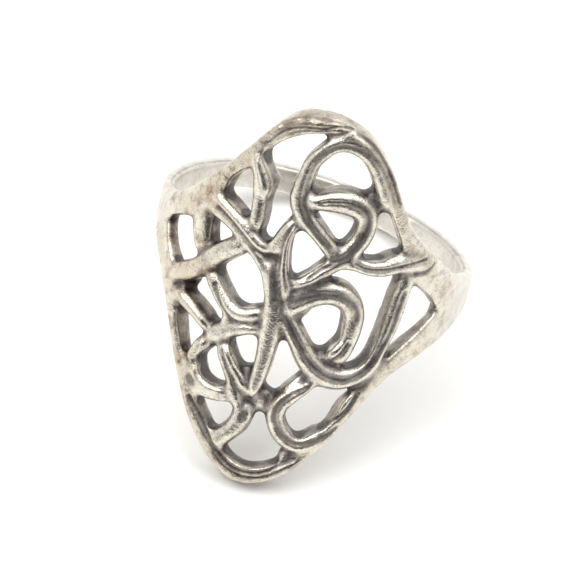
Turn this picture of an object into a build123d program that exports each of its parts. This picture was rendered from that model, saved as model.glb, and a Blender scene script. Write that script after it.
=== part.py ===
"""Openwork silver ring: a narrow band that widens into a long pierced shield.

Millimetres. In the drawing frame the finger's axis is Z and the shield faces -Y.
The finished ring leans back, as it rests on the shield's lower tip and the band's back edge.
"""

from build123d import *
import os
from math import atan2, cos, degrees, radians, sin

os.makedirs("parts", exist_ok=True)

# Driving dimensions
bore_diameter = 17.7
shield_length = 23.5
shield_arc = 20.0
shield_wall = 1.35
floor_wall = 1.1
band_width = 1.6
band_wall = 0.9
strand_width = 1.0
strand_rise = 0.35
edge_round = 0.22

# Working sizes that follow from them
bore_radius = bore_diameter / 2
shield_half = shield_length / 2
band_half = band_width / 2
floor_radius = bore_radius + floor_wall
face_radius = floor_radius + strand_rise
column = shield_arc / 20
row = shield_length / 23.5
dome_foot = 1.3 * strand_width
dome_sink = 0.3 * floor_wall
pocket_flare = edge_round
smallest_gap = 0.12 * strand_width**2
shoulder_turn = 66

# Sections round the finger, from behind round by the left.
# Turn is in degrees from the shield's middle line, + to the right.
# Upper and lower say how far the edge has gone from the band's edge, 0, to the shield's tip, 1.
# Wall says how far the wall has gone from the band's, 0, to the shield's, 1.
sections = [
    # turn, upper, lower, wall
    (-180, -0.01, 0.01, 0.3),
    (-156, 0.01, 0.01, 0.25),
    (-134, 0.02, -0.01, 0.05),
    (-114, 0.03, -0.03, -0.4),
    (-95, 0.05, -0.05, -0.6),
    (-78, 0.09, -0.06, -0.3),
    (-66, 0.13, -0.03, 0.4),
    (-57, 0.18, 0.03, 0.9),
    (-50, 0.22, 0.10, 1.0),
    (-44, 0.27, 0.18, 1.0),
    (-38.5, 0.34, 0.31, 1.0),
    (-33, 0.44, 0.45, 1.0),
    (-27.5, 0.57, 0.59, 1.0),
    (-22, 0.73, 0.73, 1.0),
    (-16.5, 0.86, 0.84, 1.0),
    (-11, 0.935, 0.915, 1.0),
    (-5.5, 0.965, 0.975, 1.0),
    (0, 0.97, 1.0, 1.0),
    (5.5, 0.95, 0.99, 1.0),
    (11, 0.91, 0.95, 1.0),
    (16.5, 0.845, 0.88, 1.0),
    (22, 0.735, 0.76, 1.0),
    (27.5, 0.61, 0.62, 1.0),
    (33, 0.48, 0.44, 1.0),
    (38.5, 0.38, 0.30, 1.0),
    (44, 0.31, 0.22, 1.0),
    (50, 0.25, 0.165, 1.0),
    (57, 0.18, 0.11, 0.9),
    (66, 0.11, 0.07, 0.4),
    (78, 0.05, 0.05, -0.2),
    (95, 0.0, 0.045, -0.5),
    (114, -0.03, 0.04, -0.4),
    (134, -0.03, 0.03, 0.05),
    (156, -0.02, 0.02, 0.25),
    (180, -0.01, 0.01, 0.3),
]

# The window inside the rim, on the shield unrolled as a chart of squares: four edges, from the top
# round by the right. Each place is in squares across and along from the shield's middle.
upper_right = [(0, 10.55), (1.5, 10.2), (3.2, 8.8), (4.6, 6.8), (6.0, 4.6), (7.4, 2.5), (10.2, 0.15)]
lower_right = [(10.2, 0.15), (7.5, -2.45), (5.7, -4.6), (4.9, -6.5), (3.5, -8.8), (1.4, -10.55), (0, -10.85)]
lower_left = [(0, -10.85), (-1.4, -10.2), (-3.3, -8.3), (-4.7, -6.3), (-6.2, -4.1), (-7.4, -1.9), (-9.7, 1.3)]
upper_left = [
    (-9.7, 1.3), (-7.4, 2.35), (-6.3, 3.2), (-5.5, 5.2), (-4.4, 6.5), (-2.9, 8.8), (-1.4, 10.1), (0, 10.55),
]
window = (upper_right, lower_right, lower_left, upper_left)

# Squares across at which the window's floor is drawn, from its left end to its right
floor_places = (-9.4, -8, -6.5, -5.5, -4, -2.5, -1, 0, 1, 2.5, 4, 5.5, 6.5, 8, 9.9)

# Strands on the same chart: how far the ridge rises over the window's floor, as a share of the strand
# rise, then a row for each place: squares across, squares along, and width as a share of the strand width.
strands = {
    "trunk": (1.3, [(-1.3, 2.0, 1.2), (-0.75, 0.4, 1.4), (-0.4, -1.5, 1.4), (-0.35, -3.5, 0.95),
                    (-0.5, -6.4, 0.6)]),
    "left branch": (1.0, [(-6.2, 4.3, 1.2), (-4.3, 3.45, 1.0), (-2.8, 2.65, 1.0), (-1.3, 1.4, 1.0)]),
    "right branch": (0.9, [(-0.4, 4.9, 0.8), (-1.1, 3.3, 0.8), (-0.95, 1.6, 1.0)]),
    "top stem": (1.1, [(2.1, 3.1, 0.7), (0.4, 4.65, 0.9), (-0.7, 6.7, 0.95), (-0.6, 7.9, 0.95)]),
    "top loop": (1.0, [(-0.68, 7.2, 0.8), (-0.3, 8.9, 0.85), (0.5, 9.8, 1.0), (1.5, 10.1, 1.0),
                       (2.9, 9.35, 1.0), (3.8, 8.2, 0.9)]),
    "middle loop": (1.2, [(-0.4, 6.2, 0.5), (1.2, 6.65, 0.8), (2.8, 6.75, 1.0), (3.5, 5.4, 1.1),
                          (2.6, 3.2, 1.1), (1.4, 2.0, 0.85), (0.1, 0.8, 0.8)]),
    "loop link": (0.2, [(3.1, 6.8, 0.7), (3.9, 7.1, 0.7)]),
    "right bar": (1.3, [(2.7, 2.95, 0.7), (4.3, 2.9, 0.95), (6.1, 3.25, 1.05), (7.1, 3.45, 1.1),
                        (8.3, 3.5, 0.5)]),
    "upper twig": (1.2, [(-3.8, 8.0, 0.7), (-3.25, 6.7, 0.75), (-2.8, 5.3, 0.6)]),
    "upper post": (0.8, [(-4.2, 6.9, 0.9), (-3.35, 5.9, 0.8), (-3.0, 4.5, 0.75), (-3.1, 3.1, 0.8)]),
    "left post": (0.6, [(-6.9, 3.1, 1.5), (-6.5, 2.0, 0.85), (-5.95, 0.6, 0.7)]),
    "left bar": (1.1, [(-8.0, -1.5, 1.0), (-6.4, -0.65, 1.0), (-5.1, 0.7, 1.0), (-3.3, 2.6, 0.8)]),
    "middle arc": (0.9, [(-5.1, -0.1, 0.7), (-3.9, -1.35, 0.65), (-2.6, -1.95, 0.7), (-1.1, -1.3, 0.6)]),
    "lower branch": (0.7, [(-4.2, -4.0, 1.0), (-2.9, -3.0, 1.0), (-0.7, -2.2, 0.6)]),
    "knot": (0.5, [(-3.1, -1.8, 0.8), (-3.3, -3.2, 1.0)]),
    "left arm": (1.0, [(-7.3, -2.3, 0.9), (-5.5, -2.7, 0.85), (-4.2, -3.5, 0.8)]),
    "left leg": (0.8, [(-3.9, -4.0, 0.9), (-4.35, -5.3, 0.9), (-4.9, -7.0, 0.7)]),
    "left hook": (0.9, [(-4.1, -5.6, 0.5), (-3.1, -6.65, 0.55), (-1.7, -6.3, 0.5)]),
    "lower bar": (0.7, [(-4.6, -7.0, 0.8), (-2.7, -7.0, 0.55), (-1.4, -6.7, 0.55)]),
    "long root": (0.8, [(-3.5, -3.5, 0.6), (-1.75, -6.0, 0.7), (-0.9, -7.3, 0.9)]),
    "short root": (0.9, [(-2.9, -3.3, 0.5), (-0.75, -6.2, 0.5)]),
    "foot": (1.0, [(-0.7, -6.9, 1.1), (-0.8, -8.3, 1.1), (-2.4, -10.2, 0.8)]),
    "web": (0.1, [(-0.6, -6.5, 0.9), (0.8, -6.4, 1.1)]),
    "lower loop": (1.0, [(3.0, -4.6, 0.5), (1.8, -5.8, 0.75), (1.2, -7.2, 0.9), (1.9, -8.35, 0.9),
                         (3.0, -8.75, 0.9), (4.3, -7.7, 0.7)]),
    "strut": (0.1, [(2.3, -4.0, 0.4), (1.0, -5.7, 0.5)]),
    "swirl": (1.1, [(0.2, -1.5, 0.9), (1.4, -2.8, 1.05), (2.7, -4.0, 1.15), (4.6, -4.1, 1.15),
                    (6.0, -2.8, 0.95), (6.6, -0.9, 0.9), (6.95, 2.1, 0.95), (6.95, 2.9, 0.9)]),
    "curl": (1.2, [(0.0, -0.7, 1.0), (1.4, 0.55, 1.15), (2.7, 1.0, 1.15), (3.8, 0.45, 1.1),
                   (4.2, -0.9, 1.0), (3.6, -3.1, 1.0)]),
}


def section_plane(turn):
    """Plane through the finger's axis, X outwards and Y along the finger."""
    a = radians(turn)
    return Plane(origin=(0, 0, 0), x_dir=(sin(a), -cos(a), 0), z_dir=(-cos(a), -sin(a), 0))


def corner_arc(centre, start):
    """Rounded corner of a section: a quarter circle from the start angle."""
    return CenterArc(centre, edge_round, start, 90)


def ring_section(turn, upper, lower, wall):
    """Rounded oblong from inside the bore to the outer face. The bore is cut later."""
    reach = shield_half - band_half
    top = band_half + reach * upper
    bottom = -band_half - reach * lower
    outer = bore_radius + band_wall + (shield_wall - band_wall) * wall
    inner = bore_radius - band_wall / 2
    with BuildSketch(section_plane(turn)) as section:
        with BuildLine():
            inner_top = (inner, top)
            inner_bottom = (inner, bottom)
            Line(inner_top, inner_bottom)
            Line(inner_bottom, (outer - edge_round, bottom))
            corner_arc((outer - edge_round, bottom + edge_round), -90)
            Line((outer, bottom + edge_round), (outer, top - edge_round))
            corner_arc((outer - edge_round, top - edge_round), 0)
            Line((outer - edge_round, top), inner_top)
        make_face()
    return section.sketch


def chart_place(across, along):
    """A place of the chart in millimetres on the unrolled sheet."""
    return Vector(across * column, along * row)


def headings(places):
    """Direction of a smooth curve at each of its places on the unrolled sheet."""
    curve = Edge.make_spline(places)
    return [curve.tangent_at(place) for place in places]


def sheet_plane(place, radius, heading=None):
    """Plane at a place of the sheet: flat on it, or square across a strand that has a heading."""
    a = place.X / face_radius
    out = Vector(sin(a), -cos(a), 0)
    around = Vector(cos(a), sin(a), 0)
    origin = out * radius + Vector(0, 0, place.Y)
    if heading is None:
        return Plane(origin=origin, x_dir=around, z_dir=out)
    forward = around * heading.X + Vector(0, 0, heading.Y)
    return Plane(origin=origin, x_dir=out.cross(forward), z_dir=forward)


def strand_sides(rows):
    """Left and right edges of a strand on the sheet, as two lists of places."""
    places = [chart_place(across, along) for across, along, width in rows]
    sides = ([], [])
    for place, heading, (across, along, width) in zip(places, headings(places), rows):
        left = Vector(-heading.Y, heading.X) * (width * strand_width / 2)
        sides[0].append(place + left)
        sides[1].append(place - left)
    return sides


def ridge(rows, rise):
    """Domed bar along a strand, sunk a little into the shield."""
    places = [chart_place(across, along) for across, along, width in rows]
    sketches = []
    for place, heading, (across, along, width) in zip(places, headings(places), rows):
        foot = width * dome_foot / 2
        with BuildSketch(sheet_plane(place, floor_radius, heading)) as section:
            with BuildLine():
                Line((-foot, -dome_sink), (foot, -dome_sink))
                ThreePointArc((foot, -dome_sink), (0, rise * strand_rise), (-foot, -dome_sink))
            make_face()
        sketches.append(section.sketch)
    return loft(sections=sketches)


def window_height(edges, across):
    """Height of a window edge at a number of squares across, along straight lines between its places."""
    for edge in edges:
        for (x0, y0), (x1, y1) in zip(edge, edge[1:]):
            if min(x0, x1) <= across <= max(x0, x1):
                return (y0 + (y1 - y0) * (across - x0) / (x1 - x0)) * row


def floor_section(across):
    """Slot over the window's floor, as high as the window at this place and a little wider outside."""
    top = window_height((upper_left, upper_right), across)
    bottom = window_height((lower_left, lower_right), across)
    outside = face_radius + shield_wall / 4
    with BuildSketch(section_plane(degrees(across * column / face_radius))) as section:
        with BuildLine():
            Polyline(
                (floor_radius, bottom),
                (floor_radius, top),
                (outside, top + pocket_flare),
                (outside, bottom - pocket_flare),
                close=True,
            )
        make_face()
    return section.sketch


# The gaps on the unrolled sheet: the window less every strand
with BuildSketch() as gaps:
    with BuildLine():
        for edge in window:
            Spline(*[chart_place(across, along) for across, along in edge])
    make_face()
    for rise, rows in strands.values():
        left, right = strand_sides(rows)
        with BuildLine():
            Spline(*left)
            Spline(*right)
            Line(left[0], right[0])
            Line(left[-1], right[-1])
        make_face(mode=Mode.SUBTRACT)
        for across, along, width in (rows[0], rows[-1]):
            with Locations(chart_place(across, along)):
                Circle(width * strand_width / 2, mode=Mode.SUBTRACT)

with BuildPart() as ring:
    # The plain ring, lofted round the finger in four lengths that share their end sections
    for start, end in ((-180, -shoulder_turn), (-shoulder_turn, 0), (0, shoulder_turn), (shoulder_turn, 180)):
        loft(sections=[ring_section(*s) for s in sections if start <= s[0] <= end])

    # The floor of the window, sunk below the rim
    loft(sections=[floor_section(across) for across in floor_places], ruled=True, mode=Mode.SUBTRACT)

    # The strands, each a domed bar over the floor
    for rise, rows in strands.values():
        add(ridge(rows, rise))

    # The gaps, cut through to the bore
    for gap in gaps.faces().filter_by(lambda face: face.area > smallest_gap):
        centre = gap.center()
        with BuildSketch(sheet_plane(centre, bore_radius - band_wall)) as opening:
            with Locations((-centre.X, -centre.Y)):
                add(gap)
        extrude(amount=2 * shield_wall + strand_rise, mode=Mode.SUBTRACT)
    Cylinder(bore_radius, 2 * shield_length, mode=Mode.SUBTRACT)

# At rest the ring leans back on the shield's lower tip and the band's lower back edge
back_edge = band_half + (shield_half - band_half) * sections[-1][2]
lean = degrees(atan2(shield_half - back_edge, bore_diameter + band_wall - edge_round / 2))
leaned = ring.part.rotate(Axis.X, -lean)
box = leaned.bounding_box()
resting = leaned.translate((-box.center().X, -box.center().Y, -box.min.Z))
resting.label = "ring"
export_step(resting, "parts/ring.step")
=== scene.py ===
"""A cast silver ring with a pierced shield, leaning back on a pale table in a soft light tent.

The ring is drawn in millimetres round its own finger axis, Z, with the shield facing -Y.
It is then leaned back and set down where the frame's ring stands.
"""

from math import cos, pi, radians, sin

import bmesh
import bpy
import numpy as np
from mathutils import Matrix, Vector


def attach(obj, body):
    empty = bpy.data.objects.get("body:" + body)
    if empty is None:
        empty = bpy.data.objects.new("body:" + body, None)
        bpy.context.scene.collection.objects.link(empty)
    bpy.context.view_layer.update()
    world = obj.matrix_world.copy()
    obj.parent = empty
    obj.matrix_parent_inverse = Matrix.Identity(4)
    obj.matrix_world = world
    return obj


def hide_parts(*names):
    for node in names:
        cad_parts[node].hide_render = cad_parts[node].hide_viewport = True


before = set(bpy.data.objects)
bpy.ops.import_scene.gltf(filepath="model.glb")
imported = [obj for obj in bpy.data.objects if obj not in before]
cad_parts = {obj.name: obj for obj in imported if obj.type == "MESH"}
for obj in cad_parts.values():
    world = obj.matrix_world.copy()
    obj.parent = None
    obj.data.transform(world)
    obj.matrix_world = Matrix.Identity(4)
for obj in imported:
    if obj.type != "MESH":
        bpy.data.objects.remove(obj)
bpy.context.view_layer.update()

# Where the ring lies: its axis leans back by so many degrees, and its middle is here, in millimetres
LEAN = 30.38
LEANED = Matrix.Rotation(radians(-LEAN), 3, "X")
RING_PLACE = (-0.027, 2.922, 5.680)

# The photo's view of the ring: azimuth, elevation and roll in degrees on the ring's own axes,
# then the frame in pixels, and the place on those axes, in millimetres, that a pixel of it shows
VIEW = (4.2, 21.35, 15.05)
IMAGE_WIDTH = 576
IMAGE_HEIGHT = 561
PIXELS_PER_MM = 17.02
CAMERA_REACH = 300
SENSOR_WIDTH = 36
AIM = (0, 0, 0.7)
AIM_PIXEL = (316.3, 231.1)

# The ring's radii, in millimetres
MM = 0.001
BORE = 8.85
SKIN_INSIDE = BORE - 0.1  # inner face of the skins, before casting rounds them off
FLOOR = 9.95  # floor between the strands, which their ridges rise over
FACE = 10.3  # face that the shield's chart is unrolled from

# Strands, in millimetres unless a share is named
STEP = 0.2  # between sections, along strands and round the ring
END_LENGTH = 0.7  # over which an end sinks and narrows
END_DROP = 0.3
END_NARROWING = 0.3  # share of the width
POLISH_LOSS = 0.07  # width that casting takes off, given back beforehand
LOW_RIDGE = 0.25  # at or under which a strand has the low arch
FULL_ARCH = 0.5  # dome's height as a share of the width
LOW_ARCH = 0.25
DOME_POINTS = 18
LEAST_DOME = 0.05
KNEE = 0.25  # over the bore, where a strand's sides turn in
SIDE_KNEE = 0.35  # added to it at the shield's narrow ends
SIDE_WAIST_LOSS = 0.2  # share of the width there
FOOT_SHARE = 0.9  # foot's width as a share of the waist's
SIDE_FOOT_LOSS = 0.45  # taken off that share at the narrow ends

# Narrow ends of the shield, as turns in radians
SIDE_START = 0.5
SIDE_BLEND = 0.3
FLARE_START = 0.25

# Rim, shoulders and band, in millimetres unless a share is named
EDGE_STEP = 0.5  # degrees
WINDOW_STEP = 0.1
CORNER_POINTS = 6
EDGE_CORNER = 0.24  # radius of a narrow stretch's outer corners
NARROW_EDGE = 1.6  # height that counts as narrow
WIDE_CORNER = 0.14  # added for each millimetre over that, up to one
CORNER_LIMIT = 0.45  # share of the height
LEAST_CORNER = 0.1
WINDOW_CORNER = 0.16  # on the window's side
EDGE_KNEE = 0.6  # over the bore, where the inner flare begins
INNER_FLARE = 0.7
FLARE_LIMIT = 0.4  # share of the height
TOP_RISE = 0.3  # of the inner face's upper edge in the middle
KNEE_RISE = 0.6  # share of that rise at the knee

# Hollows behind the window's two ends, in millimetres
END_HOLLOW = 0.42
HOLLOW_FULL = 0.2  # distance within which a hollow is at its deepest
HOLLOW_IN_SHIELD = 1.9  # reach
HOLLOW_IN_BAND = 3.6  # reach

# Casting, in millimetres
CAST_GRAIN = 0.12  # size of the cells that the skin is made from
JOINT_FILL = 0.13  # how far the skin is swelled, to fill the corners
CAST_SWELL = 0.02  # how much of that is left

# Grooves, in millimetres
GROOVE_STEP = 0.25
OUTER_FACE = (9.55, 9.85)  # radii over which the face begins to take grooves
FULL_GROOVE = 0.1  # depth that counts as a full one

# How many cells wide the surroundings of a hollow are, and its blur
HOLLOW_REACH = 10
HOLLOW_BLUR = 2

# Where tarnish, painted shade and wear come in, in millimetres unless said otherwise
SLIGHT_HOLLOW = (-0.012, 0.03)  # how far the surface lies under its surroundings
DEEP_HOLLOW = (0.03, 0.08)
BAND_HOLLOW = (0.01, 0.06)
WALL_FACING = (0.25, 0.65)  # share of the surface's direction that is outward
WALL_FOOT = (8.8, 9.0)  # radii
WALL_TOP = (9.75, 10.05)
EDGE_MARGIN = (0.15, 0.5)  # distance from the ring's outer edges
SHIELD_END = (0.85, 1.15)  # turn in radians
INNER_EDGE_AWAY = 0.12  # dark line by the band's inner edge
INNER_EDGE_BELOW = 0.08
INNER_EDGE_WIDTH = 0.1
RUBBED_MARGIN = (-0.3, 0.3)  # into the window
RUBBED_LEFT = (3.6, 5.4)  # left of the middle, where strands are rubbed too
RUBBED_END = (1.0, 1.4)  # turn in radians
LEFTWARD_FADE = (-2, 6)  # left of the middle; the rubbed tints are darker towards the left

# How dark each kind of place gets, 0 to 1, in tarnish and painted shade together
SLIGHT_TARNISH_AND_SHADE = 0.65
DEEP_TARNISH_AND_SHADE = 0.33
WALL_TARNISH_AND_SHADE = 0.55
BAND_TARNISH_AND_SHADE = 0.3
INNER_EDGE_DARKENING = 0.9
GROOVE_SHADE = 0.75

# How strongly places are rubbed, 0 to 1
BAND_RUB_LOSS = 0.75
# Share kept on the right side, so the rubbed tints are darker towards the left
RIGHT_SIDE_SHARE = 0.55

# Silver by how dull it is, from bright metal to the black of silver sulphide; the same ramp colours the
# painted shade that comes in with the tarnish
DULLING = {0.0: "#E6E4DD", 0.25: "#DAD7D1", 0.55: "#B0ACA8", 0.82: "#7C797B", 1.0: "#454344"}
POLISH = 0.12  # taken off the dulling

# Noise over the metal: size in millimetres, detail and roughness. Real casting pits are about
# 0.05 mm across, and are drawn at 0.11 mm so that they show.
NOISES = {
    "blotches": (0.9, 5, 0.62),
    "pitting": (0.11, 2, 0.6),
    "stains": (1.1, 6, 0.7),
    "bloom": (2.6, 3, 0.5),
    "gold film": (0.8, 3, 0.6),
    "violet film": (0.55, 3, 0.6),
    "hammering": (0.7, 2, 0.5),
}

# Shares taken from the noises and the marks: source, its low and high, and what those give
SHARES = {
    "blotchy dulling": ("blotches", 0.3, 0.72, 0.0, 0.3),
    "pitted dulling": ("pitting", 0.3, 0.72, 0.0, 0.12),
    "stain": ("stains", 0.5, 0.7, 0.0, 1.0),
    "flush": ("bloom", 0.35, 0.62, 0.25, 0.8),
    "pit": ("pitting", 0.54, 0.72, 0.0, 0.85),
    "pit patch": ("blotches", 0.35, 0.6, 0.1, 1.0),
    "pits after rubbing": ("rubbed", 0.0, 1.0, 1.0, 0.45),
    "pits on satin": ("satin", 0.0, 1.0, 1.0, 0.3),
    "cream": ("satin", 0.0, 1.0, 1.0, 0.2),
    "gold patch": ("gold film", 0.5, 0.68, 0.0, 0.6),
    "violet patch": ("violet film", 0.48, 0.66, 0.0, 0.8),
    "film on satin": ("satin", 0.0, 1.0, 1.0, 0.35),
    "satin roughness": ("satin", 0.0, 1.0, 0.0, 0.12),
}

# How the shares go together, in order
JOINED = [
    ("dulled_and_shaded", "ADD", "tarnish_and_shade", "blotchy dulling"),
    ("dulled_and_shaded", "ADD", "dulled_and_shaded", "pitted dulling"),
    ("stained", "MULTIPLY", "rubbed", "stain"),
    ("flushed", "MULTIPLY", "rubbed", "flush"),
    ("pits", "MULTIPLY", "pit", "pit patch"),
    ("pits", "MULTIPLY", "pits", "pits after rubbing"),
    ("pits", "MULTIPLY", "pits", "pits on satin"),
    ("golden", "MULTIPLY", "gold patch", "film on satin"),
    ("violet", "MULTIPLY", "violet patch", "film on satin"),
]

# Tints laid over the silver in turn, each by its share
TINTS = {
    "cream": "#FCFAF2",
    "flushed": "#E4DCD2",
    "stained": "#A8937A",
    "golden": "#F4EAD8",
    "violet": "#E2DCE8",
    "pits": "#7D7470",
}

# Gloss of the silver, then its two reliefs by strength and depth in millimetres
BRIGHT_ROUGHNESS = 0.22
DULL_ROUGHNESS = 0.5
HAMMERING = (0.35, 0.12)
PITTING = (0.85, 0.03)

# The card under the ring
CARD_WHITE = "#F4F3F1"
CARD_ROUGHNESS = 0.9

# The light tent, with its dark opening by azimuth, elevation, core and edge in degrees
TENT_STRENGTH = 0.86
TENT_WHITE = "#FFFFFF"
OPENING_DARK = "#464648"
OPENING_AZIMUTH = 8
OPENING_ELEVATION = 18
OPENING_CORE = 16
OPENING_EDGE = 54

# Lamps by place, size and watts, and the board, all in metres
LAMPS = {
    "upper left soft box": ((-0.25, -0.1, 0.4), 0.3, 1.0),
    "overhead soft box": ((0.1, 0.2, 0.45), 0.5, 1.6),
}
LAMP_AIM = (0, 0, 0.01)
BOARD_HALF = 0.6

# Edges of the ring round the finger: turn in degrees, + to the right of the shield's middle,
# the height of the upper and the lower edge, and the radius of the outer face.
RING_EDGES = [
    # turn, upper, lower, radius
    (-180, 0.68, -0.85, 9.75), (-160, 0.93, -0.72, 9.76), (-140, 1.10, -0.55, 9.74),
    (-120, 1.20, -0.45, 9.65), (-105, 1.26, -0.42, 9.50), (-92, 1.38, -0.30, 9.39),
    (-80, 1.65, -0.26, 9.40), (-70, 2.00, -0.45, 9.55), (-63, 2.33, -0.83, 9.76),
    (-56, 2.74, -1.28, 9.97), (-50, 3.24, -1.94, 10.08), (-45, 3.93, -2.88, 10.14),
    (-40, 4.76, -4.05, 10.16), (-35, 5.68, -5.42, 10.16), (-30, 6.78, -6.88, 10.16),
    (-25, 8.05, -8.27, 10.15), (-20, 9.30, -9.41, 10.14), (-15, 10.28, -10.34, 10.12),
    (-10, 10.79, -11.03, 10.12), (-5, 10.97, -11.56, 10.12), (0, 11.04, -11.76, 10.12),
    (5, 10.94, -11.62, 10.12), (10, 10.68, -11.2, 10.14), (15, 10.26, -10.56, 10.16),
    (20, 9.56, -9.58, 10.16), (25, 8.5, -8.50, 10.16), (30, 7.10, -7.04, 10.16),
    (35, 5.80, -5.44, 10.16), (40, 4.92, -4.22, 10.16), (45, 4.24, -3.40, 10.15),
    (50, 3.66, -2.92, 10.12), (56, 3.02, -2.46, 10.03), (63, 2.28, -2.10, 9.90),
    (70, 1.82, -1.82, 9.74), (80, 1.38, -1.6, 9.60), (92, 0.92, -1.44, 9.54),
    (105, 0.58, -1.42, 9.56), (120, 0.45, -1.40, 9.61), (140, 0.43, -1.32, 9.68),
    (160, 0.50, -1.14, 9.74), (180, 0.68, -0.85, 9.75),
]

# The window inside the rim: millimetres across and along on the unrolled face
WINDOW_TOP = [
    (-9.7, 1.3), (-8.6, 1.85), (-7.4, 2.38), (-6.4, 3.2), (-5.7, 4.3), (-5.1, 5.9), (-4.5, 6.5),
    (-3.6, 7.9), (-2.3, 9.25), (-1.2, 9.93), (-0.3, 10.25), (0.6, 10.4), (1.6, 10.15), (2.5, 9.55),
    (3.3, 8.7), (3.9, 7.9), (4.5, 6.9), (5.2, 5.8), (5.8, 4.9), (6.3, 4.1), (7.2, 2.9), (7.65, 2.25),
    (9.2, 1.15), (10.3, 0.2),
]
WINDOW_FOOT = [
    (-9.7, 1.3), (-8.9, 0.1), (-7.9, -0.9), (-7.2, -2.3), (-6.68, -3.4), (-6.1, -4.6), (-5.3, -5.7),
    (-4.6, -6.6), (-3.9, -7.6), (-3.2, -8.5), (-2.3, -9.35), (-1.3, -10.2), (-0.4, -10.62),
    (0.4, -10.72), (1.4, -10.42), (2.5, -9.8), (3.4, -8.95), (4.1, -7.73), (4.72, -6.5),
    (5.12, -5.35), (6.0, -4.4), (6.6, -3.3), (7.5, -2.32), (9.2, -0.76), (10.3, 0.2),
]

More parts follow.
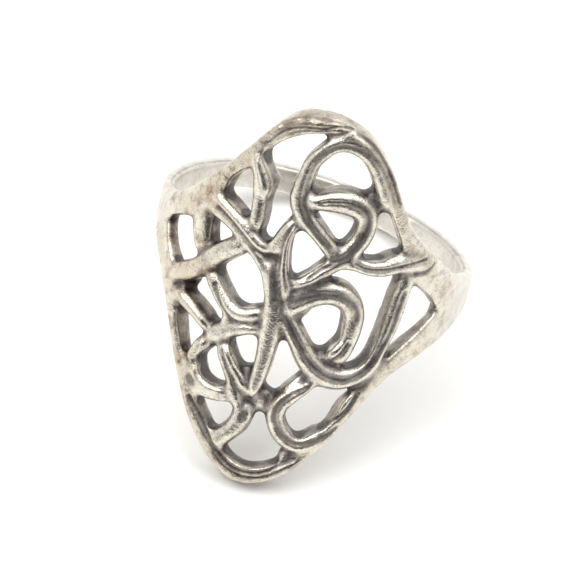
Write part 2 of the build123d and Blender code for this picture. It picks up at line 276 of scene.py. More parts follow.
# Strands on the unrolled face. Each has the height of its ridge over the floor between the
# strands, then a row for each place: millimetres across, along, and width.
STRANDS = {
    "trunk": (0.46, [
        (-1.3, 2.0, 1.15), (-0.98, 1.2, 1.35), (-0.75, 0.4, 1.35), (-0.55, -0.5, 1.35),
        (-0.4, -1.5, 1.45), (-0.37, -2.5, 1.25), (-0.32, -3.5, 1.07), (-0.32, -4.5, 0.95),
        (-0.38, -5.5, 0.75), (-0.5, -6.4, 0.5)]),
    "bright branch": (0.44, [
        (-6.1, 4.3, 0.6), (-5.3, 4.1, 0.62), (-4.55, 3.84, 0.6), (-3.8, 3.52, 0.58),
        (-3.1, 3.1, 0.56), (-2.4, 2.72, 0.56), (-1.8, 2.45, 0.5)]),
    "left branch": (0.32, [
        (-6.4, 3.7, 0.9), (-5.5, 3.5, 0.85), (-4.7, 3.28, 0.75), (-3.9, 2.96, 0.7),
        (-3.1, 2.52, 0.72), (-2.22, 1.92, 0.68), (-1.52, 1.2, 0.65), (-1.17, 0.45, 0.62),
        (-1.0, -0.3, 0.6)]),
    "right branch": (0.34, [
        (-0.38, 4.75, 1.02), (-0.88, 4.1, 0.84), (-1.2, 3.4, 0.76), (-1.4, 2.8, 0.75),
        (-1.55, 2.2, 0.7)]),
    "trunk edge": (0.48, [
        (-0.5, 4.7, 0.3), (-0.72, 3.6, 0.28), (-0.66, 2.5, 0.34), (-0.4, 1.4, 0.38),
        (-0.14, 0.7, 0.36), (0.05, 0.0, 0.32)]),
    "top loop": (0.36, [
        (2.18, 3.18, 0.75), (1.7, 3.68, 0.92), (1.1, 4.18, 0.96), (0.43, 4.68, 1.02),
        (-0.22, 5.2, 1.18), (-0.7, 5.9, 1.28), (-0.8, 6.7, 1.08), (-0.68, 7.6, 0.95),
        (-0.52, 8.4, 0.95), (-0.06, 9.1, 0.86), (0.58, 9.8, 0.9), (1.4, 10.05, 1.05), (2.3, 9.8, 1.0),
        (3.1, 9.15, 1.0), (3.7, 8.3, 0.98), (4.2, 7.4, 0.92), (4.7, 6.6, 0.8)]),
    "middle loop": (0.42, [
        (-0.4, 6.15, 0.6), (0.5, 6.25, 0.95), (1.2, 6.44, 1.3), (2.0, 6.53, 1.5), (2.8, 6.42, 1.5),
        (3.42, 6.02, 1.3), (3.58, 5.35, 1.24), (3.48, 4.6, 1.18), (3.12, 3.9, 1.16),
        (2.66, 3.2, 1.08), (2.06, 2.58, 0.86), (1.47, 1.92, 0.78), (0.85, 1.32, 0.74),
        (0.15, 0.8, 0.72)]),
    "loop link": (-0.08, [(3.1, 6.95, 0.7), (3.8, 7.02, 0.9), (4.35, 6.92, 1.2), (4.9, 6.45, 1.15)]),
    "right bar": (0.46, [
        (2.65, 2.92, 0.72), (3.45, 3.05, 0.74), (4.3, 2.92, 0.84), (5.2, 2.98, 0.92),
        (6.08, 3.32, 1.22), (7.1, 3.45, 1.1), (8.0, 3.5, 0.8), (8.6, 3.5, 0.4)]),
    "upper twig": (0.46, [
        (-3.88, 8.05, 0.5), (-3.72, 7.35, 0.62), (-3.3, 6.75, 0.75), (-2.92, 6.1, 0.78),
        (-2.85, 5.4, 0.6)]),
    "upper post": (0.3, [
        (-4.2, 7.3, 0.65), (-3.62, 6.75, 0.6), (-3.28, 6.0, 0.85), (-3.06, 5.2, 0.92),
        (-2.98, 4.5, 0.88), (-2.94, 3.8, 0.9), (-3.0, 3.1, 0.85)]),
    "post web": (-0.15, [(-2.9, 6.5, 0.7), (-2.45, 6.25, 0.5)]),
    "left post": (0.22, [
        (-7.2, 3.4, 1.6), (-6.74, 2.7, 1.62), (-6.54, 2.0, 1.5), (-6.24, 1.3, 1.25), (-5.9, 0.6, 1.1)]),
    "left bar": (0.4, [
        (-8.0, -1.5, 1.0), (-7.2, -1.08, 1.18), (-6.4, -0.62, 1.2), (-5.7, 0.0, 1.16),
        (-5.06, 0.78, 1.16), (-4.42, 1.42, 1.2), (-3.8, 1.92, 1.14), (-3.22, 2.52, 0.92)]),
    "bar recess": (-0.4, [(-7.0, -1.6, 0.55), (-6.35, -1.5, 0.45)]),
    "middle arc": (0.32, [
        (-5.15, -0.05, 0.85), (-4.52, -0.7, 0.82), (-3.88, -1.26, 0.88), (-3.15, -1.74, 0.92),
        (-2.4, -1.84, 0.88), (-1.7, -1.58, 0.82), (-1.05, -1.2, 0.72)]),
    "lower branch": (0.26, [
        (-4.2, -4.0, 1.0), (-3.6, -3.5, 1.15), (-2.9, -3.02, 1.05), (-2.1, -2.64, 0.78),
        (-1.3, -2.35, 0.6), (-0.7, -2.2, 0.6)]),
    "knot": (0.18, [(-3.15, -1.9, 0.8), (-3.1, -2.5, 0.8), (-3.2, -3.1, 0.9)]),
    "left arm": (0.36, [
        (-7.2, -2.3, 0.9), (-6.3, -2.5, 0.88), (-5.5, -2.74, 0.78), (-4.8, -3.02, 0.76),
        (-4.2, -3.5, 0.8)]),
    "left leg": (0.3, [
        (-3.95, -4.0, 1.0), (-4.42, -4.6, 0.84), (-4.74, -5.3, 0.64), (-4.8, -6.1, 0.6),
        (-4.95, -6.9, 0.65)]),
    "left hook": (0.34, [
        (-4.5, -5.6, 0.42), (-4.08, -6.4, 0.45), (-3.15, -6.75, 0.5), (-2.4, -6.66, 0.5),
        (-1.7, -6.38, 0.5)]),
    "lower bar": (0.22, [
        (-4.5, -7.05, 0.8), (-3.6, -7.12, 0.68), (-2.7, -7.08, 0.62), (-1.5, -6.75, 0.6)]),
    "long root": (0.32, [
        (-3.15, -3.9, 0.6), (-2.8, -4.5, 0.6), (-2.35, -5.1, 0.6), (-1.85, -5.8, 0.7),
        (-1.42, -6.6, 0.85), (-0.95, -7.3, 0.95)]),
    "short root": (0.34, [
        (-2.8, -3.8, 0.32), (-2.34, -4.5, 0.34), (-1.72, -5.15, 0.42), (-1.15, -5.75, 0.5),
        (-0.8, -6.3, 0.5)]),
    "root fork": (-0.1, [(-1.45, -5.1, 0.5), (-0.9, -4.95, 0.5)]),
    "foot": (0.34, [
        (-0.75, -6.9, 1.2), (-0.72, -7.6, 1.3), (-0.86, -8.3, 1.22), (-1.27, -8.95, 1.08),
        (-1.8, -9.6, 1.1), (-2.3, -10.2, 0.8)]),
    "web": (-0.05, [(-0.6, -6.65, 1.1), (0.1, -6.52, 1.5), (0.8, -6.45, 1.3)]),
    "hole web": (-0.15, [(2.4, -3.1, 0.7), (3.3, -2.92, 0.7)]),
    "foot corner": (0.05, [(2.5, -9.2, 0.5), (2.3, -9.9, 0.6)]),
    "lower loop": (0.34, [
        (3.0, -4.6, 0.5), (2.4, -5.2, 0.6), (1.8, -5.8, 0.9), (1.3, -6.5, 1.05), (1.22, -7.2, 1.12),
        (1.55, -7.88, 1.08), (2.12, -8.42, 1.0), (2.9, -8.7, 0.82), (3.7, -8.3, 0.8),
        (4.3, -7.7, 0.7)]),
    "strut": (-0.1, [(2.4, -4.35, 0.4), (1.75, -5.12, 0.35), (1.15, -5.9, 0.5)]),
    "swirl": (0.38, [
        (-0.15, -0.6, 0.7), (0.4, -1.2, 0.9), (1.05, -1.95, 1.1), (1.66, -2.7, 1.25),
        (2.18, -3.33, 1.35), (2.9, -3.88, 1.45), (3.75, -4.2, 1.42), (4.65, -4.16, 1.28),
        (5.57, -3.76, 0.9), (6.22, -2.92, 0.75), (6.48, -1.95, 0.74), (6.7, -0.9, 1.0),
        (6.85, 0.2, 1.12), (6.92, 1.2, 1.1), (7.02, 2.1, 0.96), (7.06, 2.9, 0.85)]),
    "curl": (0.44, [
        (0.0, -0.72, 1.05), (0.7, -0.1, 1.3), (1.4, 0.48, 1.38), (2.25, 0.91, 1.42),
        (3.12, 0.94, 1.44), (3.84, 0.57, 1.38), (4.27, -0.12, 1.28), (4.36, -0.9, 1.18),
        (4.32, -1.7, 1.05), (4.15, -2.5, 0.95), (3.9, -3.2, 0.95)]),
    "curl tip": (0.46, [
        (4.2, -1.5, 0.35), (3.86, -2.08, 0.46), (3.56, -2.54, 0.5), (3.28, -2.98, 0.46)]),
    "curl root web": (-0.1, [(0.3, -1.1, 0.9), (1.1, -0.58, 0.75), (1.6, -0.2, 0.5)]),
}

# Fine grooves in the outer face, which also take painted shade by their depth: half width and depth, then
# places, in millimetres
GROOVES = {
    "top rim": (0.11, 0.10, [
        (-3.35, 8.7), (-2.8, 9.5), (-2.25, 9.95), (-1.65, 10.25), (-1.0, 10.42), (-0.25, 10.6),
        (0.2, 10.86), (0.9, 10.98), (1.3, 10.95)]),
    "top rim shade": (0.26, 0.06, [
        (-2.7, 10.0), (-2.1, 10.45), (-1.4, 10.8), (-0.6, 11.0), (0.25, 11.1), (1.0, 11.0)]),
    "loop top": (0.1, 0.08, [(-0.05, 10.35), (0.5, 10.5), (0.95, 10.7), (1.2, 10.9)]),
    "branches": (0.1, 0.12, [
        (-5.4, 3.85), (-4.8, 3.64), (-4.1, 3.32), (-3.1, 2.8), (-2.25, 2.3), (-1.65, 2.1)]),
    "trunk hollow": (0.24, 0.14, [(-1.45, 2.2), (-1.2, 1.9), (-0.9, 1.3), (-0.7, 0.6), (-0.5, -0.1)]),
    "trunk edge": (0.09, 0.1, [
        (-0.62, 4.5), (-0.86, 3.55), (-0.86, 2.55), (-0.67, 1.45), (-0.42, 0.7), (-0.22, 0.0)]),
    "twig": (0.08, 0.04, [(-3.75, 7.9), (-3.72, 7.3), (-3.45, 6.8), (-3.2, 6.3), (-2.95, 5.9)]),
    "loop": (0.17, 0.07, [
        (2.0, 3.3), (1.6, 3.85), (0.9, 4.35), (0.38, 4.8), (-0.05, 5.35), (-0.35, 6.0), (-0.42, 6.65),
        (-0.45, 7.4), (-0.38, 8.2), (-0.2, 8.9), (0.3, 9.55), (1.0, 9.95), (2.0, 9.95), (2.8, 9.6),
        (3.45, 9.1), (3.95, 8.4), (4.4, 7.75), (4.7, 7.2)]),
    "loop rim": (0.12, 0.1, [
        (1.6, 10.75), (2.4, 10.45), (3.2, 9.85), (3.9, 9.0), (4.5, 8.1), (5.0, 7.2)]),
    "middle loop ridge": (0.09, 0.1, [(0.6, 6.35), (1.4, 6.62), (2.1, 6.72), (2.6, 6.68)]),
    "middle loop": (0.2, 0.1, [
        (2.3, 6.7), (3.05, 6.5), (3.4, 6.1), (3.5, 5.5), (3.4, 4.9), (3.05, 3.95), (2.6, 3.3),
        (2.05, 2.95)]),
    "right bar": (0.1, 0.12, [
        (3.4, 3.2), (4.0, 3.02), (5.0, 3.05), (6.0, 3.32), (7.0, 3.6), (7.8, 3.8)]),
    "right bar foot": (0.09, 0.1, [(7.3, 2.85), (8.1, 2.95), (8.6, 3.5)]),
    "bar root": (0.1, 0.1, [(1.0, 1.68), (1.45, 2.3), (2.05, 2.8)]),
    "curl root": (0.1, 0.12, [(0.35, 0.7), (1.1, 1.25), (1.9, 1.85)]),
    "middle arc": (0.1, 0.1, [
        (-4.3, -0.65), (-3.8, -1.3), (-3.25, -1.9), (-2.6, -2.25), (-1.7, -2.1)]),
    "left arm": (0.1, 0.1, [(-5.9, -1.9), (-5.3, -2.35), (-4.5, -2.8), (-4.0, -3.15)]),
    "long root": (0.08, 0.09, [(-2.85, -4.2), (-2.3, -4.9), (-1.6, -5.75), (-1.1, -6.3)]),
    "short root": (0.08, 0.09, [(-2.33, -4.0), (-1.7, -4.7), (-1.0, -5.35), (-0.65, -5.85)]),
    "foot rim": (0.12, 0.14, [
        (-4.15, -7.7), (-3.5, -8.35), (-2.85, -9.0), (-2.2, -9.65), (-1.5, -10.3), (-0.65, -10.85),
        (0.1, -10.98), (0.9, -10.9), (1.7, -10.5), (2.3, -10.0), (3.0, -9.5)]),
    "foot rim inside": (0.08, 0.08, [(-3.65, -7.7), (-3.3, -8.1), (-2.85, -8.7)]),
    "hook": (0.08, 0.08, [(-3.7, -5.85), (-3.3, -6.25), (-2.75, -6.5), (-2.1, -6.5)]),
    "foot": (0.16, 0.08, [(-1.05, -6.5), (-0.75, -7.1), (-0.5, -7.7)]),
    "lower loop": (0.15, 0.08, [
        (2.6, -4.9), (2.05, -5.3), (1.5, -5.9), (1.2, -6.5), (1.2, -7.1), (1.55, -7.75), (2.1, -8.25),
        (2.8, -8.5), (3.5, -8.3), (4.25, -7.8), (4.95, -7.1)]),
    "lower right rim": (0.1, 0.12, [(5.65, -5.0), (5.3, -5.85), (4.8, -6.6), (4.2, -7.35)]),
    "curl": (0.2, 0.09, [
        (0.5, 0.0), (1.25, 0.55), (2.05, 0.95), (2.85, 1.05), (3.7, 0.8), (4.15, 0.4), (4.3, -0.2)]),
    "curl end": (0.09, 0.16, [(4.2, -1.7), (4.05, -2.15), (3.86, -2.55), (3.66, -2.9)]),
    "swirl": (0.18, 0.1, [
        (0.3, -0.95), (0.9, -1.65), (1.42, -2.3), (2.12, -3.13), (2.87, -3.7), (3.7, -4.02),
        (4.45, -4.08), (5.15, -3.8), (5.75, -3.3), (6.13, -2.65), (6.4, -1.82), (6.63, -1.07),
        (6.75, -0.16), (6.8, 0.75), (6.9, 1.66)]),
    "left rim": (0.1, 0.08, [
        (-6.55, -3.4), (-6.2, -4.05), (-5.7, -4.75), (-5.15, -5.4), (-4.7, -5.8)]),
}


def smooth_rows(rows, step):
    """Rows along a smooth curve through the given ones, about a step apart."""
    rows = np.array(rows, float)
    chord = np.r_[0, np.cumsum(np.hypot(*np.diff(rows[:, :2], axis=0).T))]
    slope = np.gradient(rows, chord, axis=0)
    places = np.linspace(0, chord[-1], max(3, int(chord[-1] / step) + 1))
    leg = np.clip(np.searchsorted(chord, places, side="right") - 1, 0, len(chord) - 2)
    length = (chord[leg + 1] - chord[leg])[:, None]
    s = (places - chord[leg])[:, None] / length
    return (
        (2 * s**3 - 3 * s**2 + 1) * rows[leg]
        + (s**3 - 2 * s**2 + s) * length * slope[leg]
        + (3 * s**2 - 2 * s**3) * rows[leg + 1]
        + (s**3 - s**2) * length * slope[leg + 1]
    )


def on_ring(turn, height, radius):
    """A point round the finger, turn in radians from the shield's middle."""
    return Vector((radius * sin(turn), -radius * cos(turn), height))


def sweep(bm, sections):
    """Closed skin through equal loops of points: a circle moved to the first, extruded to the rest."""
    first = bmesh.ops.create_circle(bm, segments=len(sections[0]), radius=1)["verts"]
    for vert, place in zip(first, sections[0]):
        vert.co = place
    loop = first
    for section in sections[1:]:
        edges = [bm.edges.get((a, b)) for a, b in zip(loop, loop[1:] + loop[:1])]
        made = bmesh.ops.extrude_edge_only(bm, edges=edges)["geom"]
        fresh = {tuple(v.co): v for v in made if isinstance(v, bmesh.types.BMVert)}
        loop = [fresh[tuple(v.co)] for v in loop]
        for vert, place in zip(loop, section):
            vert.co = place
    for end in (first, loop):
        bmesh.ops.contextual_create(bm, geom=end)


def side_share(turn, start=SIDE_START):
    """How far round to the sides a turn is: 0 over the shield's middle, 1 at its narrow ends."""
    s = min(max((abs(turn) - start) / SIDE_BLEND, 0), 1)
    return s * s * (3 - 2 * s)


def end_hollow(across):
    """How far the back is hollowed out beside the window's two ends."""
    left, right = WINDOW_TOP[0][0], WINDOW_TOP[-1][0]
    gap = min(abs(across - left), abs(across - right))
    reach = HOLLOW_IN_SHIELD if left < across < right else HOLLOW_IN_BAND
    s = min(max((reach - gap) / (reach - HOLLOW_FULL), 0), 1)
    return END_HOLLOW * s * s * (3 - 2 * s)


def strand_section(width, crown, arch, side):
    """Outline across a strand: (sideways, radius) of a dome that narrows towards the bore."""
    spring = crown - arch * width
    outline = []
    for k in range(DOME_POINTS):
        a = pi * k / (DOME_POINTS - 1)
        outline.append((-0.5 * width * cos(a), spring + (crown - spring) * sin(a)))
    waist = 0.5 * width * (1 - SIDE_WAIST_LOSS * side)
    knee = min(BORE + KNEE + SIDE_KNEE * side, spring - LEAST_DOME)
    foot = waist * (FOOT_SHARE - SIDE_FOOT_LOSS * side)
    return outline + [(waist, knee), (foot, SKIN_INSIDE), (-foot, SKIN_INSIDE), (-waist, knee)]


def add_strand(bm, rows, ridge):
    """A strand swept along its rows on the rolled face. Its ends sink and narrow into what they meet."""
    path = smooth_rows(rows, STEP)
    heading = np.gradient(path[:, :2], axis=0)
    heading /= np.hypot(*heading.T)[:, None]
    run = np.r_[0, np.cumsum(np.hypot(*np.diff(path[:, :2], axis=0).T))]
    nearest_end = np.minimum(run, run[-1] - run)
    end = np.clip(1 - nearest_end / END_LENGTH, 0, 1) ** 2
    arch = FULL_ARCH if ridge > LOW_RIDGE else LOW_ARCH
    sections = []
    for (across, along, width), (hx, hy), fade in zip(path, heading, end):
        section = []
        crown = FLOOR + ridge - END_DROP * fade
        full = (width + POLISH_LOSS) * (1 - END_NARROWING * fade)
        for aside, radius in strand_section(full, crown, arch, side_share(across / FACE)):
            section.append(on_ring((across + aside * hy) / FACE, along - aside * hx, radius))
        sections.append(section)
    sweep(bm, sections)


def edge_section(turn, lower, upper, outer, lower_flare=0, upper_flare=0, rise=0, hollow=0, window=0):
    """Outline through a solid stretch of the ring at a turn, with its outer corners rounded.

    A flare cuts an edge back towards the bore, rise lifts the upper edge there, and hollow thins
    the wall from within. The edge on the window's side, -1 the lower and 1 the upper, is sharper.
    """
    height = upper - lower
    corner = min(EDGE_CORNER + WIDE_CORNER * min(height - NARROW_EDGE, 1), CORNER_LIMIT * height)
    corner = max(corner, LEAST_CORNER)
    room = FLARE_LIMIT * height
    inner = SKIN_INSIDE + hollow
    knee = BORE + EDGE_KNEE
    outline = [(inner, lower + min(lower_flare, room)), (knee, lower)]
    for side, edge, start in ((-1, lower, -pi / 2), (1, upper, 0)):
        bend = min(corner, WINDOW_CORNER) if side == window else corner
        for k in range(CORNER_POINTS):
            a = start + pi / 2 * k / (CORNER_POINTS - 1)
            outline.append((outer - bend + bend * cos(a), edge - side * bend + bend * sin(a)))
    outline += [(knee, upper + KNEE_RISE * rise), (inner, upper + rise - min(upper_flare, room))]
    return [on_ring(turn, along, radius) for radius, along in outline]


def ring_edge(turn):
    """Upper edge, lower edge and outer radius at turns in degrees, along smooth curves."""
    table = smooth_rows(RING_EDGES, EDGE_STEP)
    return [np.interp(turn, table[:, 0], table[:, k]) for k in (1, 2, 3)]


def window_at(across):
    """The window's upper and lower edge at places across the unrolled face."""
    edges = (smooth_rows(rows, WINDOW_STEP) for rows in (WINDOW_TOP, WINDOW_FOOT))
    return [np.interp(across, edge[:, 0], edge[:, 1]) for edge in edges]


def model_ring():
    """The ring's parts as closed skins that overlap, ready to be cast into one."""
    bm = bmesh.new()
    left, right = WINDOW_TOP[0][0], WINDOW_TOP[-1][0]
    rims = ([], [])
    for across in np.arange(left, right, STEP):
        turn = across / FACE
        upper, lower, outer = ring_edge(turn * 180 / pi)
        flare = INNER_FLARE * side_share(turn, FLARE_START)
        rise = TOP_RISE * (1 - side_share(turn))
        hollow = end_hollow(across)
        top, foot = window_at(across)
        rims[0].append(edge_section(turn, top, upper, outer, flare, 0, rise, hollow, window=-1))
        rims[1].append(edge_section(turn, lower, foot, outer, 0, flare, 0, hollow, window=1))
    for rim in rims:
        sweep(bm, rim)
    band = []
    for turn in np.arange(right / FACE, 2 * pi + left / FACE, STEP / BORE):
        upper, lower, outer = ring_edge((turn * 180 / pi + 180) % 360 - 180)
        around = FACE * ((turn + pi) % (2 * pi) - pi)
        band.append(edge_section(turn, lower, upper, outer, hollow=end_hollow(around)))
    sweep(bm, band)
    for ridge, rows in STRANDS.values():
        add_strand(bm, rows, ridge)
    bmesh.ops.recalc_face_normals(bm, faces=bm.faces)
    return bm


def cast(bm):
    """One skin round all the overlapping parts, with softly filled joints, as molten metal leaves.

    The skin is swelled and drawn back in, which fills the corners where strands meet.
    """
    rough = bpy.data.meshes.new("rough casting")
    bm.to_mesh(rough)
    bm.free()
    mould = bpy.data.objects.new("rough casting", rough)
    bpy.context.scene.collection.objects.link(mould)

    def add_step(kind, settings):
        step = mould.modifiers.new(kind.title(), kind)
        for name, value in settings.items():
            setattr(step, name, value)

    fuse = {"mode": "VOXEL", "voxel_size": CAST_GRAIN, "use_smooth_shade": True}
    add_step("REMESH", fuse)
    add_step("SMOOTH", {"factor": 0.5, "iterations": 3})
    add_step("DISPLACE", {"mid_level": 0, "strength": JOINT_FILL})
    add_step("REMESH", fuse)
    add_step("SMOOTH", {"factor": 0.5, "iterations": 5})
    add_step("DISPLACE", {"mid_level": 0, "strength": CAST_SWELL - JOINT_FILL})
    add_step("SMOOTH", {"factor": 0.5, "iterations": 2})
    graph = bpy.context.evaluated_depsgraph_get()
    casting = bpy.data.meshes.new_from_object(mould.evaluated_get(graph))
    bpy.data.objects.remove(mould)
    return casting


def neighbour_mean(values, pairs, count):
    """Each vertex's value averaged with those at the other ends of its edges."""
    total = values.copy()
    for a, b in (pairs.T, pairs.T[::-1]):
        for k in range(values.shape[1]):
            total[:, k] += np.bincount(a, values[b, k], count)
    return total / (1 + np.bincount(pairs.ravel(), minlength=count))[:, None]


def read_shape(mesh):
    """Places, normals and edges of a mesh, as arrays."""
    count = len(mesh.vertices)
    places = np.empty(3 * count, np.float32)
    mesh.vertices.foreach_get("co", places)
    normals = np.empty(3 * count, np.float32)
    mesh.vertex_normals.foreach_get("vector", normals)
    pairs = np.empty(2 * len(mesh.edges), np.int32)
    mesh.edges.foreach_get("vertices", pairs)
    return places.reshape(-1, 3).astype(float), normals.reshape(-1, 3).astype(float), pairs.reshape(-1, 2)


def soft_step(value, low, high):
    """From 0 at the low value to 1 at the high one, eased at both."""
    s = np.clip((value - low) / (high - low), 0, 1)
    return s * s * (3 - 2 * s)


def distance_to_path(spots, path):
    """Distance from each spot of the unrolled face to a line through the path's places."""
    nearest = np.full(len(spots), 1e9)
    for start, end in zip(path, path[1:]):
        leg = end - start
        share = np.clip((spots - start) @ leg / (leg @ leg), 0, 1)
        nearest = np.minimum(nearest, np.hypot(*(spots - start - share[:, None] * leg).T))
    return nearest


def cut_grooves(mesh):
    """Presses the grooves into the outer face, and gives how deep each vertex lies in one, 0 to 1."""
    places = read_shape(mesh)[0]
    radius = np.hypot(places[:, 0], places[:, 1])
    turn = np.arctan2(places[:, 0], -places[:, 1])
    spots = np.c_[FACE * turn, places[:, 2]]
    outside = soft_step(radius, *OUTER_FACE)
    depth = np.zeros(len(places))
    for half_width, deep, rows in GROOVES.values():
        path = smooth_rows(rows, GROOVE_STEP)
        near = np.exp(-((distance_to_path(spots, path) / half_width) ** 2))
        depth = np.maximum(depth, deep * near)
    depth *= outside
    sunk = places.copy()
    sunk[:, :2] *= (1 - depth / radius)[:, None]
    mesh.vertices.foreach_set("co", sunk.astype(np.float32).ravel())
    mesh.update()
    return np.clip(depth / FULL_GROOVE, 0, 1)


def wear_tarnish_and_shade(mesh, groove):
    """Marks where hollows and gap walls hold tarnish with painted shade over it, where grooves hold painted
    shade, and where wear leaves satin or rubs the metal.
    """
    places, normals, pairs = read_shape(mesh)
    count = len(places)
    softened = places
    for _ in range(HOLLOW_REACH):
        softened = neighbour_mean(softened, pairs, count)
    hollow = ((softened - places) * normals).sum(1)[:, None]
    for _ in range(HOLLOW_BLUR):
        hollow = neighbour_mean(hollow, pairs, count)
    hollow = hollow[:, 0]
    radius = np.hypot(places[:, 0], places[:, 1])
    turn = np.arctan2(places[:, 0], -places[:, 1])
    across, along = FACE * turn, places[:, 2]
    upper, lower, _ = ring_edge(np.degrees(turn))
    shield = 1 - soft_step(np.abs(turn), *SHIELD_END)

    # Gap walls that face sideways get painted shade, laid over the real oxide on them; the ring's outer
    # edges are left out
    outward = (normals[:, 0] * places[:, 0] + normals[:, 1] * places[:, 1]) / radius
    wall = 1 - soft_step(outward, *WALL_FACING)
    wall *= soft_step(radius, *WALL_FOOT) * (1 - soft_step(radius, *WALL_TOP))
    wall *= soft_step(np.minimum(upper - along, along - lower), *EDGE_MARGIN)
    # Hollows on the shield and the band hold real sulphide tarnish, with painted shade added as a cavity
    # would be shaded
    tarnish_and_shade = SLIGHT_TARNISH_AND_SHADE * soft_step(hollow, *SLIGHT_HOLLOW)
    tarnish_and_shade += DEEP_TARNISH_AND_SHADE * soft_step(hollow, *DEEP_HOLLOW)
    tarnish_and_shade = np.clip(tarnish_and_shade + WALL_TARNISH_AND_SHADE * wall, 0, 1) * shield
    tarnish_and_shade += BAND_TARNISH_AND_SHADE * soft_step(hollow, *BAND_HOLLOW) * (1 - shield)
    # A dark line along the band's inner upper edge
    away = np.hypot(radius - BORE - INNER_EDGE_AWAY, along - upper + INNER_EDGE_BELOW)
    tarnish_and_shade += INNER_EDGE_DARKENING * np.exp(-((away / INNER_EDGE_WIDTH) ** 2)) * (1 - shield)
    # Painted shade along the grooves, darker where they are deeper
    tarnish_and_shade = np.maximum(tarnish_and_shade, GROOVE_SHADE * groove)

    top, foot = window_at(across)
    in_window = soft_step(top - along, *RUBBED_MARGIN) * soft_step(along - foot, *RUBBED_MARGIN)
    rubbed = np.maximum(1 - in_window, soft_step(-across, *RUBBED_LEFT))
    rubbed *= 1 - BAND_RUB_LOSS * soft_step(np.abs(turn), *RUBBED_END)
    # The rubbed tints are darker towards the left
    rubbed *= RIGHT_SIDE_SHARE + (1 - RIGHT_SIDE_SHARE) * soft_step(-across, *LEFTWARD_FADE)
    for name, values in (("tarnish_and_shade", tarnish_and_shade), ("satin", 1 - shield), ("rubbed", rubbed)):
        layer = mesh.attributes.new(name, "FLOAT", "POINT")
        layer.data.foreach_set("value", np.clip(values, 0, 1).astype(np.float32))


def to_rest(place):
    """From the ring's own axes, in millimetres, to where it lies, in metres."""
    return MM * (LEANED @ Vector(place) + Vector(RING_PLACE))


def linear(code):
    """Linear colour from an sRGB hex value."""
    parts = [int(code[k : k + 2], 16) / 255 for k in (1, 3, 5)]
    return [c / 12.92 if c <= 0.04045 else ((c + 0.055) / 1.055) ** 2.4 for c in parts] + [1.0]


def add_node(tree, kind, settings=None, values=None, links=None):
    """A node with its settings, its sockets' values and what is linked into it."""
    node = tree.nodes.new(kind)
    for name, value in (settings or {}).items():
        setattr(node, name, value)
    for name, value in (values or {}).items():
        node.inputs[name].default_value = value
    for name, source in (links or {}).items():
        tree.links.new(source, node.inputs[name])
    return node


def cast_silver():
    """Cast sterling silver, tumbled bright and then worn, with sulphide tarnish left in the hollows, and
    shade painted into the hollows, gap walls and grooves.
    """
    # The eye sees crisp pale ridges, soft grey reflections, dark outlines where strands meet, and
    # a slightly grained, warmer white on the shoulders and band, where fingers rub the polish dull
    silver = bpy.data.materials.new("cast_sterling_silver")
    silver.use_nodes = True
    tree = silver.node_tree
    tree.nodes.clear()
    place = add_node(tree, "ShaderNodeTexCoord").outputs["Object"]
    made = {}
    for name in ("tarnish_and_shade", "satin", "rubbed"):
        made[name] = add_node(tree, "ShaderNodeAttribute", {"attribute_name": name}).outputs["Fac"]
    for name, (size, detail, roughness) in NOISES.items():
        made[name] = add_node(
            tree,
            "ShaderNodeTexNoise",
            values={"Scale": 1 / (size * MM), "Detail": detail, "Roughness": roughness},
            links={"Vector": place},
        ).outputs["Fac"]
    for name, (source, low, high, to_low, to_high) in SHARES.items():
        made[name] = add_node(
            tree,
            "ShaderNodeMapRange",
            values={"From Min": low, "From Max": high, "To Min": to_low, "To Max": to_high},
            links={"Value": made[source]},
        ).outputs["Result"]
    for name, operation, first, second in JOINED:
        made[name] = add_node(
            tree,
            "ShaderNodeMath",
            {"operation": operation, "use_clamp": True},
            links={0: made[first], 1: made[second]},
        ).outputs["Value"]

    # Dulling: tarnish and painted shade, with the blotches and pits, less the polish
    dulled_and_shaded = add_node(
        tree,
        "ShaderNodeMath",
        {"operation": "SUBTRACT", "use_clamp": True},
        values={1: POLISH},
        links={0: made["dulled_and_shaded"]},
    ).outputs["Value"]
    colour = add_node(tree, "ShaderNodeValToRGB", links={"Fac": dulled_and_shaded})
    stops = colour.color_ramp.elements
    for stop, position in zip(stops, (min(DULLING), max(DULLING))):
        stop.position = position
        stop.color = linear(DULLING[position])
    for position in sorted(DULLING)[1:-1]:
        stops.new(position).color = linear(DULLING[position])
    finish = colour.outputs["Color"]
    for share, code in TINTS.items():
        finish = add_node(
            tree,
            "ShaderNodeMix",
            {"data_type": "RGBA", "blend_type": "MULTIPLY"},
            values={7: linear(code)},
            links={"Factor": made[share], 6: finish},
        ).outputs[2]

    dull_roughness = add_node(
        tree,
        "ShaderNodeMapRange",
        values={"To Min": BRIGHT_ROUGHNESS, "To Max": DULL_ROUGHNESS},
        links={"Value": dulled_and_shaded},
    ).outputs["Result"]
    roughness = add_node(
        tree,
        "ShaderNodeMath",
        {"operation": "ADD", "use_clamp": True},
        links={0: dull_roughness, 1: made["satin roughness"]},
    ).outputs["Value"]
    hammered = add_node(
        tree,
        "ShaderNodeBump",
        values={"Strength": HAMMERING[0], "Distance": HAMMERING[1] * MM},
        links={"Height": made["hammering"]},
    ).outputs["Normal"]
    pitted = add_node(
        tree,
        "ShaderNodeBump",
        values={"Strength": PITTING[0], "Distance": PITTING[1] * MM},
        links={"Height": made["pitting"], "Normal": hammered},
    ).outputs["Normal"]
    shader = add_node(
        tree,
        "ShaderNodeBsdfPrincipled",
        values={"Metallic": 1.0},
        links={"Base Color": finish, "Roughness": roughness, "Normal": pitted},
    )
    add_node(tree, "ShaderNodeOutputMaterial", links={"Surface": shader.outputs["BSDF"]})
    return silver


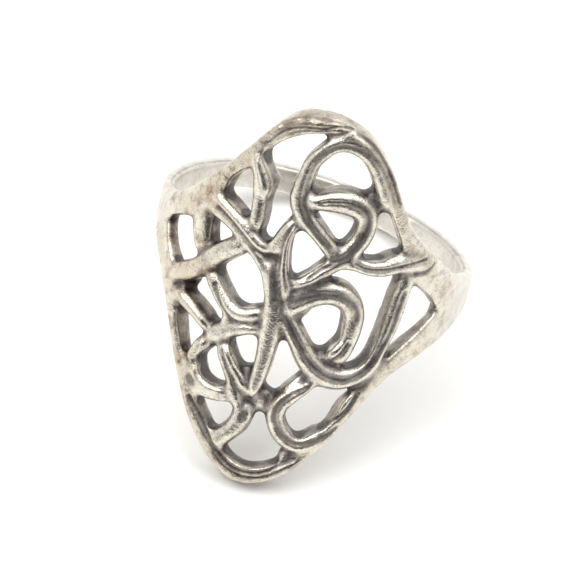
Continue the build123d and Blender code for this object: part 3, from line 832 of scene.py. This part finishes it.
def pale_board():
    """Matt white card."""
    # The eye sees an even, almost shadowless ground
    card = bpy.data.materials.new("matt_white_card")
    card.use_nodes = True
    shader = card.node_tree.nodes["Principled BSDF"]
    shader.inputs["Base Color"].default_value = linear(CARD_WHITE)
    shader.inputs["Roughness"].default_value = CARD_ROUGHNESS
    return card


def view_axes():
    """The camera's right, up and backward directions, on the ring's own axes."""
    azimuth, elevation, roll = (radians(a) for a in VIEW)
    back = Vector((sin(azimuth) * cos(elevation), -cos(azimuth) * cos(elevation), sin(elevation)))
    right = (-back).cross(Vector((0, 0, 1))).normalized()
    up = right.cross(-back)
    return cos(roll) * right + sin(roll) * up, cos(roll) * up - sin(roll) * right, back


def place_camera():
    """Camera at the photo's angle to the ring, with the ring where the photo's frame has it."""
    right, up, back = view_axes()
    data = bpy.data.cameras.new("camera")
    data.sensor_width = SENSOR_WIDTH
    data.lens = PIXELS_PER_MM * CAMERA_REACH * SENSOR_WIDTH / IMAGE_WIDTH
    data.clip_start = 0.01
    data.clip_end = 10
    camera = bpy.data.objects.new("camera", data)
    bpy.context.scene.collection.objects.link(camera)
    bpy.context.scene.camera = camera
    aside = (AIM_PIXEL[0] - IMAGE_WIDTH / 2) / PIXELS_PER_MM
    above = (IMAGE_HEIGHT / 2 - AIM_PIXEL[1]) / PIXELS_PER_MM
    stand = to_rest(Vector(AIM) + CAMERA_REACH * back - aside * right - above * up)
    turned = Matrix([LEANED @ axis for axis in (right, up, back)]).transposed()
    camera.matrix_world = Matrix.Translation(stand) @ turned.to_4x4()


def light_tent():
    """A white tent all round, with a soft dark opening where the camera looks in."""
    world = bpy.data.worlds.new("light tent")
    bpy.context.scene.world = world
    world.use_nodes = True
    tree = world.node_tree
    tree.nodes.clear()
    direction = add_node(tree, "ShaderNodeTexCoord").outputs["Generated"]
    azimuth, elevation = radians(OPENING_AZIMUTH), radians(OPENING_ELEVATION)
    opening = Vector((sin(azimuth) * cos(elevation), -cos(azimuth) * cos(elevation), sin(elevation)))
    towards = add_node(
        tree,
        "ShaderNodeVectorMath",
        {"operation": "DOT_PRODUCT"},
        values={1: opening},
        links={0: direction},
    ).outputs["Value"]
    dark = add_node(
        tree,
        "ShaderNodeMapRange",
        {"interpolation_type": "SMOOTHSTEP"},
        values={"From Min": cos(radians(OPENING_EDGE)), "From Max": cos(radians(OPENING_CORE))},
        links={"Value": towards},
    ).outputs["Result"]
    glow = add_node(
        tree,
        "ShaderNodeMix",
        {"data_type": "RGBA"},
        values={6: linear(TENT_WHITE), 7: linear(OPENING_DARK)},
        links={"Factor": dark},
    ).outputs[2]
    tent = add_node(tree, "ShaderNodeBackground", values={"Strength": TENT_STRENGTH}, links={"Color": glow})
    add_node(tree, "ShaderNodeOutputWorld", links={"Surface": tent.outputs["Background"]})


def add_lamp(name, spot, size, watts):
    """A square soft lamp that looks at the ring."""
    data = bpy.data.lights.new(name, "AREA")
    data.size = size
    data.energy = watts
    lamp = bpy.data.objects.new(name, data)
    lamp.location = spot
    lamp.rotation_euler = (Vector(LAMP_AIM) - Vector(spot)).to_track_quat("-Z", "Y").to_euler()
    bpy.context.scene.collection.objects.link(lamp)


def add_board():
    """The white card that the ring rests on."""
    bm = bmesh.new()
    bmesh.ops.create_grid(bm, x_segments=1, y_segments=1, size=BOARD_HALF)
    mesh = bpy.data.meshes.new("board")
    bm.to_mesh(mesh)
    bm.free()
    mesh.materials.append(pale_board())
    board = bpy.data.objects.new("board", mesh)
    bpy.context.scene.collection.objects.link(board)


def add_ring():
    """The cast ring, laid down where the frame's ring stands."""
    casting = cast(model_ring())
    wear_tarnish_and_shade(casting, cut_grooves(casting))
    casting.transform(Matrix.Translation(MM * Vector(RING_PLACE)) @ LEANED.to_4x4() @ Matrix.Scale(MM, 4))
    lowest = min(v.co.z for v in casting.vertices)
    casting.transform(Matrix.Translation((0, 0, -lowest)))
    casting.materials.append(cast_silver())
    ring = bpy.data.objects.new("silver_ring", casting)
    bpy.context.scene.collection.objects.link(ring)
    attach(ring, "root")
    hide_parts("ring")


add_ring()
add_board()
light_tent()
for name, (spot, size, watts) in LAMPS.items():
    add_lamp(name, spot, size, watts)
place_camera()
bpy.context.scene.view_settings.view_transform = "Standard"
